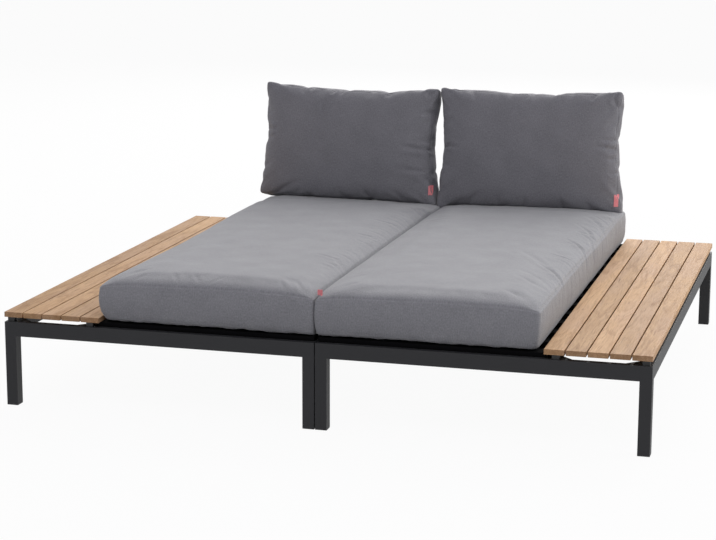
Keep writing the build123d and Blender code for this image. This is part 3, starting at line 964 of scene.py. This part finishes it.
def makeSeatCushion(cushion, plan):
    places = cushion["acrossPlaces"]
    outer = 1 if cushion["side"] == "right" else -1
    low = np.array([np.mean([row[0] for row in places]), plan["front"], plan["lowerSeam"]])
    high = np.array([np.mean([row[1] for row in places]), plan["rear"], plan["upperSeam"]])
    size = high - low
    rows = [panelRows(a, b, plan["step"], plan["edgeRows"]) for a, b in zip(low, high)]
    piece, flat = latticeBox(cushion["name"], *rows)
    u, v, w = ((flat - low) / size).T
    (atLeft, atRight), (atFront, atRear), (onBottom, onTop) = boxSides(u), boxSides(v), boxSides(w)
    onSide = atLeft | atRight | atFront | atRear
    inner = np.where(outer > 0, 1 - u, u)
    fromFront = flat[:, 1] - low[1]
    points = flat.copy()
    points[:, :2] = roundPlan(flat, low, high, plan["cornerRadius"])
    points[:, 0] = betweenCorners((points[:, 0] - low[0]) / size[0], v, places)
    lowSeam = lowSeamHeights(plan, inner, fromFront, size)
    points[:, 2] = lowSeam + (seamHeights(cushion, plan, u, v, inner, size) - lowSeam) * w
    reaches = [plan["innerReach"], plan["outerReach"]][::outer]
    points[:, 2] += onTop * topHeights(cushion, plan, flat, low, high, reaches)
    underReaches = [plan["innerUnderReach"], plan["outerUnderReach"]][::outer]
    underReaches += [plan["frontUnderReach"], plan["rearUnderReach"]]
    under = edgeRise(flat, low, high, underReaches, plan["underRoll"], plan["underRoll"])
    points[:, 2] -= onBottom * under * (lowSeam - plan["deck"])

    # the sides bulge and wave, and the hem is drawn in towards the table
    belly = np.sin(np.pi * w) * onSide
    wave = waveField(flat, plan["sideWave"], cushion["seed"])
    sideBelly = belly * plan["belly"] * (atLeft | atRight) + wave
    endBelly = belly * plan["frontBelly"] * (atFront | atRear) + wave
    points[:, 0] += np.sign(u - 0.5) * np.abs(2 * u - 1) ** plan["sidePower"] * sideBelly
    points[:, 1] += np.sign(v - 0.5) * np.abs(2 * v - 1) ** plan["endPower"] * endBelly
    hem = waveField(flat, plan["hemWave"], cushion["seed"]) * bell(flat[:, 2] - low[2], plan["hemHeight"])
    points[:, 2] += hem * (1 - smoothStep(fromFront / plan["hemFade"]))
    outerShare = outer * (1 - inner) ** plan["edgePower"]
    points[:, 0] -= outerShare * plan["hemDrawnIn"] * (1 - w) * (1 - v ** plan["hemRearPower"])
    for place, amount, reach in cushion["bulges"]:
        bulge = amount * bell(flat[:, 1] - place, reach) * np.sqrt(np.clip(w, 0, 1))
        points[:, 0] += outerShare * bulge
    writePoints(piece.data, points)

    sideGap = np.minimum(flat - low, high - flat)[:, :2].min(axis=1)
    lowerGap = flat[:, 2] - low[2] + plan["lowerSlack"]
    seamGap = np.where(onTop, sideGap, np.minimum(high[2] - flat[:, 2], lowerGap))
    held = (onSide & (onTop | onBottom)) | (onBottom & (under > plan["restsFrom"]))
    setGroup(piece, "seam", onSide * (onTop + plan["lowerSeamShare"] * onBottom))
    setGroup(piece, "held", held.astype(float))
    setGroup(piece, "taut", 1 - bell(seamGap, plan["looseReach"]))
    stuff(piece, plan)
    subdivideOnce(piece)
    softenOuterSeam(piece, outer, plan)

    points = readPoints(piece.data)
    normals = readPoints(piece.data, "normal")
    facingFrom, facingOver = plan["foldFacing"]
    reached = smoothStep((normals[:, 2] - facingFrom) / facingOver)
    for width, depth, *path in cushion["folds"] + seamPuckers(cushion["puckers"]):
        points = pressFold(points, normals, reached, path, width, depth)
    points -= normals * (readGroup(piece, "seam") * plan["seamDepth"])[:, None]
    # clear of the deck, the table and the other seat
    points[:, 2] = np.maximum(points[:, 2], plan["deck"])
    besideTable = points[:, 2] < plan["tableTop"]
    points[besideTable, 0] = np.clip(points[besideTable, 0], -plan["tableGap"], plan["tableGap"])
    nearer = np.maximum if outer > 0 else np.minimum
    points[:, 0] = nearer(points[:, 0], cushion["innerLimit"])
    writePoints(piece.data, points)
    finishCushion(piece, cushion["side"], "seat")
    return piece


seatCushions = {
    "right": makeSeatCushion(rightSeat, seatPlan),
    "left": makeSeatCushion(leftSeat, seatPlan),
}


# back cushions stand on the seat cushions and lean on the backrests; X across, Y up the lean,
# Z from the rear face to the front face, until they are put in their places
backPlan = {
    "fill": 0.7,
    "width": 0.7550,
    "height": 0.4750,
    "thickness": 0.0980,
    "step": 0.0115,
    "edgeRows": (0.0, 0.004, 0.011),
    "cornerRadius": 0.017,
    # the front face
    "crown": 0.050,
    "crownReach": (0.24, 0.24, 0.24, 0.26),
    "softness": 2.0,
    "fullness": 1.7,
    "wave": {"size": 0.13, "height": 0.004, "flat": (1, 1, 1), "seed": 0},
    # the sides, the foot and the top
    "rearInset": 0.012,
    "footDrawn": 0.005,
    "gussetBelly": 0.006,
    "topTilt": 0.019,
    "topTiltPower": 6,
    "sagPower": 3,
    "sidePower": 5,
    # where it stands and leans
    "lean": math.radians(8),
    "planeStart": (0.9082, 0.293),
    "rearGap": 0.0006,
    "seatGap": 0.0008,
    "footBelow": 0.53,
    "lookFrom": 0.6,
    "seatAbove": 0.40,
    "touchPlane": -0.0270,
    "touchGap": 0.0006,
    # sewing and stuffing
    "cornerHold": 0.024,
    "rearHold": 0.5,
    "frontFrom": 0.7,
    "frontOver": 0.3,
    "seamDepth": 0.0026,
    "quality": 5,
    "tension": 10,
    "bending": 0.02,
    "pressure": 3.0,
    "looseCloth": 0.045,
    "tautCloth": 0.000,
    "looseReach": 0.050,
    "frames": 18,
    "cap": 0.014,
}
# folds and pinches are placed in shares of the width and the height
rightBack = {
    "name": "rightBackCushion",
    "side": "right",
    "acrossPlaces": ((-0.0190, 0.7430), (-0.0230, 0.7240)),
    "upPlaces": ((0.1380, 0.1310), (0.6190, 0.6260)),
    "drawnIn": (0.016, 0.020),
    "topSag": 0.013,
    "ear": {"at": (1.0, 1.0), "reach": 0.032, "move": (0.009, -0.030, 0.0)},
    "seed": 21.0,
    "pinches": [
        {"at": (0.0, 0.49), "reach": 0.026, "move": (0.009, 0.0, -0.004)},
        {"at": (0.0, 0.0), "reach": 0.040, "move": (-0.002, -0.012, 0.0)},
        {"at": (0.03, 0.0), "reach": 0.024, "move": (0.0, -0.010, 0.0)},
        {"at": (0.0, 0.15), "reach": 0.075, "move": (-0.0095, 0.0, 0.0)},
        {"at": (0.0, 0.95), "reach": 0.060, "move": (-0.0045, 0.0, 0.0)},
        {"at": (1.0, 0.62), "reach": 0.026, "move": (-0.010, 0.0, -0.006)},
        {"at": (1.0, 0.50), "reach": 0.024, "move": (-0.008, 0.0, -0.005)},
        {"at": (0.62, 1.0), "reach": 0.030, "move": (0.0, -0.005, -0.004)},
    ],
    "folds": [
        (0.008, 0.0045, (0.004, 0.49), (0.06, 0.50), (0.11, 0.50)),
        (0.008, 0.0045, (0.995, 0.62), (0.95, 0.60), (0.90, 0.60)),
        (0.009, 0.0040, (0.995, 0.52), (0.94, 0.53), (0.87, 0.55)),
        (0.008, 0.0035, (0.995, 0.48), (0.95, 0.45), (0.91, 0.45)),
        (0.008, 0.0030, (0.99, 0.34), (0.95, 0.33), (0.92, 0.34)),
        (0.008, 0.0035, (0.50, 0.985), (0.485, 0.94), (0.465, 0.90)),
        (0.008, 0.0030, (0.68, 0.985), (0.655, 0.94), (0.635, 0.89)),
        (0.009, 0.0045, (0.87, 0.985), (0.845, 0.94), (0.83, 0.91)),
        (0.008, 0.0040, (0.965, 0.975), (0.955, 0.92), (0.975, 0.86)),
    ],
}
leftBack = {
    "name": "leftBackCushion",
    "side": "left",
    "acrossPlaces": ((-0.7920, -0.0330), (-0.7770, -0.0290)),
    "upPlaces": ((0.1460, 0.1300), (0.6190, 0.6120)),
    "drawnIn": (0.014, 0.026),
    "topSag": 0.019,
    "ear": {"at": (1.0, 1.0), "reach": 0.030, "move": (0.000, -0.014, 0.0)},
    "seed": 33.0,
    "pinches": [
        {"at": (0.0, 0.60), "reach": 0.026, "move": (0.010, 0.0, -0.006)},
        {"at": (1.0, 0.50), "reach": 0.028, "move": (-0.008, 0.0, -0.006)},
        {"at": (1.0, 0.0), "reach": 0.040, "move": (0.006, -0.010, 0.0)},
        {"at": (1.0, 0.30), "reach": 0.060, "move": (0.011, 0.0, 0.0), "depthShare": 0.4},
        {"at": (1.0, 0.29), "reach": 0.024, "move": (0.006, 0.0, 0.0), "depthShare": 0.4},
        {"at": (1.0, 0.08), "reach": 0.065, "move": (0.013, 0.0, 0.0), "depthShare": 0.4},
        {"at": (0.41, 1.0), "reach": 0.026, "move": (0.0, -0.008, -0.004)},
        {"at": (0.75, 1.0), "reach": 0.060, "move": (0.0, -0.004, 0.0)},
    ],
    "folds": [
        (0.008, 0.0045, (0.005, 0.60), (0.05, 0.59), (0.09, 0.585)),
        (0.009, 0.0030, (0.01, 0.57), (0.05, 0.565), (0.09, 0.575)),
        (0.010, 0.0055, (0.995, 0.47), (0.93, 0.475), (0.82, 0.49)),
        (0.012, 0.0025, (0.99, 0.28), (0.90, 0.29), (0.80, 0.30)),
        (0.008, 0.0050, (0.43, 0.985), (0.40, 0.93), (0.385, 0.90)),
        (0.008, 0.0040, (0.475, 0.975), (0.445, 0.93), (0.42, 0.88)),
        (0.012, 0.0022, (0.385, 0.90), (0.355, 0.82), (0.35, 0.74)),
        (0.008, 0.0035, (0.30, 0.985), (0.275, 0.95), (0.265, 0.93)),
        (0.010, 0.0035, (0.77, 0.985), (0.72, 0.93), (0.69, 0.90)),
        (0.009, 0.0045, (0.975, 0.97), (0.945, 0.945), (0.93, 0.90)),
        (0.010, 0.0030, (0.99, 0.80), (0.94, 0.79), (0.90, 0.78)),
    ],
}


def placeAt(cushion, share):
    u, v = share
    return betweenCorners(u, v, cushion["acrossPlaces"]), betweenCorners(u, v, cushion["upPlaces"])


def arch(share):
    # 1 in the middle and 0 at both ends
    return 1 - (2 * share - 1) ** 2


def leanAndStand(points, cushion, plan, seat):
    # from the cushion's own directions to its place on the seat, against the backrest
    leanSin, leanCos = math.sin(plan["lean"]), math.cos(plan["lean"])
    startY, startZ = plan["planeStart"]
    across, up = points[:, 0], points[:, 1]
    back = np.maximum(points[:, 2], plan["rearGap"])
    # the two back cushions press on each other along an upright plane
    if cushion["side"] == "right":
        across = np.maximum(across, plan["touchPlane"] + plan["touchGap"])
    else:
        across = np.minimum(across, plan["touchPlane"] - plan["touchGap"])
    placedY = startY + up * leanSin - back * leanCos
    placedZ = startZ + up * leanCos + back * leanSin
    placed = np.stack([across, placedY, placedZ], axis=1)
    surface = BVHTree.FromObject(seat, bpy.context.evaluated_depsgraph_get())
    for row in placed:
        if row[2] < plan["footBelow"]:
            hit = surface.ray_cast(Vector((row[0], row[1], plan["lookFrom"])), Vector((0, 0, -1)))[0]
            if hit is not None and hit.z > plan["seatAbove"]:
                row[2] = max(row[2], hit.z + plan["seatGap"])
    return placed


def makeBackCushion(cushion, plan, seat):
    low = np.zeros(3)
    high = np.array([plan["width"], plan["height"], plan["thickness"]])
    rows = [panelRows(a, b, plan["step"], plan["edgeRows"]) for a, b in zip(low, high)]
    piece, flat = latticeBox(cushion["name"], *rows)
    u, v, w = ((flat - low) / (high - low)).T
    (atLeft, atRight), (atFoot, atTop), (onRear, onFront) = boxSides(u), boxSides(v), boxSides(w)
    onSide = atLeft | atRight | atFoot | atTop
    rounded = roundPlan(flat, low, high, plan["cornerRadius"])
    roundU, roundV = rounded[:, 0] / high[0], rounded[:, 1] / high[1]
    points = flat.copy()
    points[:, 0] = betweenCorners(roundU, roundV, cushion["acrossPlaces"])
    points[:, 1] = betweenCorners(roundU, roundV, cushion["upPlaces"])
    rise = edgeRise(flat, low, high, plan["crownReach"], plan["softness"], plan["fullness"])
    crown = plan["crown"] + waveField(flat, plan["wave"], cushion["seed"])
    points[:, 2] += onFront * rise * crown
    drawn = np.where(u < 0.5, *cushion["drawnIn"])
    belly = np.sin(np.pi * w) * plan["gussetBelly"] * onSide
    acrossIn = drawn * arch(v) - belly * (atLeft | atRight) + plan["rearInset"] * (1 - w)
    upIn = plan["footDrawn"] * arch(u) * atFoot - belly * atFoot
    sag = cushion["topSag"] * arch(u) * v ** plan["sagPower"]
    sag += plan["topTilt"] * (1 - w) * v ** plan["topTiltPower"]
    points[:, 0] -= np.sign(u - 0.5) * np.abs(2 * u - 1) ** plan["sidePower"] * acrossIn
    points[:, 1] -= np.sign(v - 0.5) * np.abs(2 * v - 1) ** plan["sidePower"] * upIn + sag
    writePoints(piece.data, points)

    sideGaps = np.minimum(flat, high - flat)[:, :2]
    cornerGap = np.linalg.norm(sideGaps, axis=1)
    seamGap = np.where(onSide, np.minimum(w, 1 - w) * high[2], sideGaps.min(axis=1))
    held = (cornerGap < plan["cornerHold"]) & onSide | onRear & (rise > plan["rearHold"])
    setGroup(piece, "seam", (onSide & (onFront | onRear)).astype(float))
    setGroup(piece, "held", held.astype(float))
    setGroup(piece, "taut", 1 - bell(seamGap, plan["looseReach"]))
    setGroup(piece, "front", smoothStep((w - plan["frontFrom"]) / plan["frontOver"]))
    stuff(piece, plan)
    subdivideOnce(piece)

    points = readPoints(piece.data)
    for pinch in cushion["pinches"]:
        centre = (*placeAt(cushion, pinch["at"]), plan["thickness"] * pinch.get("depthShare", 1.0))
        points = nudge(points, centre, pinch["reach"], pinch["move"])
    ear = cushion["ear"]
    points = nudge(points, (*placeAt(cushion, ear["at"]), 0.0), ear["reach"], ear["move"])
    writePoints(piece.data, points)
    normals = readPoints(piece.data, "normal")
    reached = readGroup(piece, "front")
    for width, depth, *shares in cushion["folds"]:
        path = [placeAt(cushion, share) for share in shares]
        points = pressFold(points, normals, reached, path, width, depth)
    points -= normals * (readGroup(piece, "seam") * plan["seamDepth"])[:, None]
    writePoints(piece.data, leanAndStand(points, cushion, plan, seat))
    finishCushion(piece, cushion["side"], "back")
    return piece


backCushions = {
    "right": makeBackCushion(rightBack, backPlan, seatCushions["right"]),
    "left": makeBackCushion(leftBack, backPlan, seatCushions["left"]),
}


# plain woven label tabs, sewn into a seam and lying on their cushion's face
tabPlans = {
    "rightBackTab": {"on": ("right", "back"), "at": (0.7185, 0.4930), "size": (0.017, 0.048), "slope": 0.6},
    "leftBackTab": {"on": ("left", "back"), "at": (-0.0490, 0.4980), "size": (0.017, 0.038), "slope": 0.6},
    "rightSeatTab": {"on": ("right", "seat"), "at": (0.0085, 0.4550), "size": (0.017, 0.019), "slope": 0.5},
}
tabMake = {"cuts": 7, "lift": 0.0016, "thickness": 0.0010, "softEdge": 0.0002, "rayFrom": -1.5}


def makeTab(name, tab, make):
    side, kind = tab["on"]
    width, height = tab["size"]
    bpy.ops.object.select_all(action="DESELECT")
    bpy.ops.mesh.primitive_plane_add(size=1, location=(0, 0, 0), rotation=(0, 0, 0))
    piece = bpy.context.object
    piece.name = name
    bpy.ops.object.mode_set(mode="EDIT")
    bpy.ops.mesh.subdivide(number_cuts=make["cuts"])
    bpy.ops.object.mode_set(mode="OBJECT")
    cushions = backCushions if kind == "back" else seatCushions
    surface = BVHTree.FromObject(cushions[side], bpy.context.evaluated_depsgraph_get())
    points = readPoints(piece.data)
    across, up = tab["at"][0] + points[:, 0] * width, tab["at"][1] + points[:, 1] * height
    starts = [Vector((x, make["rayFrom"], z)) for x, z in zip(across, up)]
    hits = [surface.ray_cast(start, Vector((0, 1, 0)))[0] for start in starts]
    depth = np.array([-make["rayFrom"] if hit is None else hit.y for hit in hits])
    # above the roll the tab stands up by itself, a little behind its foot
    depth = np.minimum(depth, depth.min() + tab["slope"] * height) - make["lift"]
    writePoints(piece.data, np.stack([across, depth, up], axis=1))
    bpy.context.view_layer.objects.active = piece
    for step, values in (
        ("SOLIDIFY", {"thickness": make["thickness"], "offset": -1}),
        ("BEVEL", {"width": make["softEdge"], "segments": 1}),
        ("SUBSURF", {"levels": 1, "render_levels": 1}),
    ):
        modifier = piece.modifiers.new(step, step)
        for key, value in values.items():
            setattr(modifier, key, value)
        bpy.ops.object.modifier_apply(modifier=step)
    for polygon in piece.data.polygons:
        polygon.use_smooth = True
    piece.data.materials.append(tabFinish)
    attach(piece, side + "_" + kind + "_cushion")
    print(name, "sewn on")


for tabName, tab in tabPlans.items():
    makeTab(tabName, tab, tabMake)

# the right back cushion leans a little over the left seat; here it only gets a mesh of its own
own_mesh(backCushions["right"])
